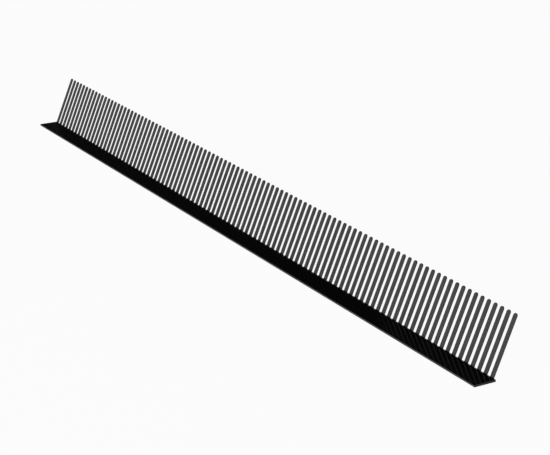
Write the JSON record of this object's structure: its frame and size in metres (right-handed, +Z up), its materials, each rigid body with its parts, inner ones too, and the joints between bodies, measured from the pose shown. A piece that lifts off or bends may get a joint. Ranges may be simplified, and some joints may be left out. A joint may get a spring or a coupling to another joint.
{
  "type": "eaves comb",
  "caption": "Long flat plastic flange with a row of thin round-tipped tines leaning back from its rear edge, to keep birds out of the ventilated gap at a roof's eaves.",
  "frame": {"origin": "centre of the flange's flat underside", "axes": "+X along the strip, +Y from the flange's front edge towards the heel the tines rise from, +Z up from the flange"},
  "size_m": [1, 0.0491, 0.0617],
  "materials": {
    "comb_plastic": "black polypropylene, satin on the tines and smoother on the flange"
  },
  "bodies": {
    "root": {"eaves_comb": "comb_plastic"}
  },
  "joints": []
}
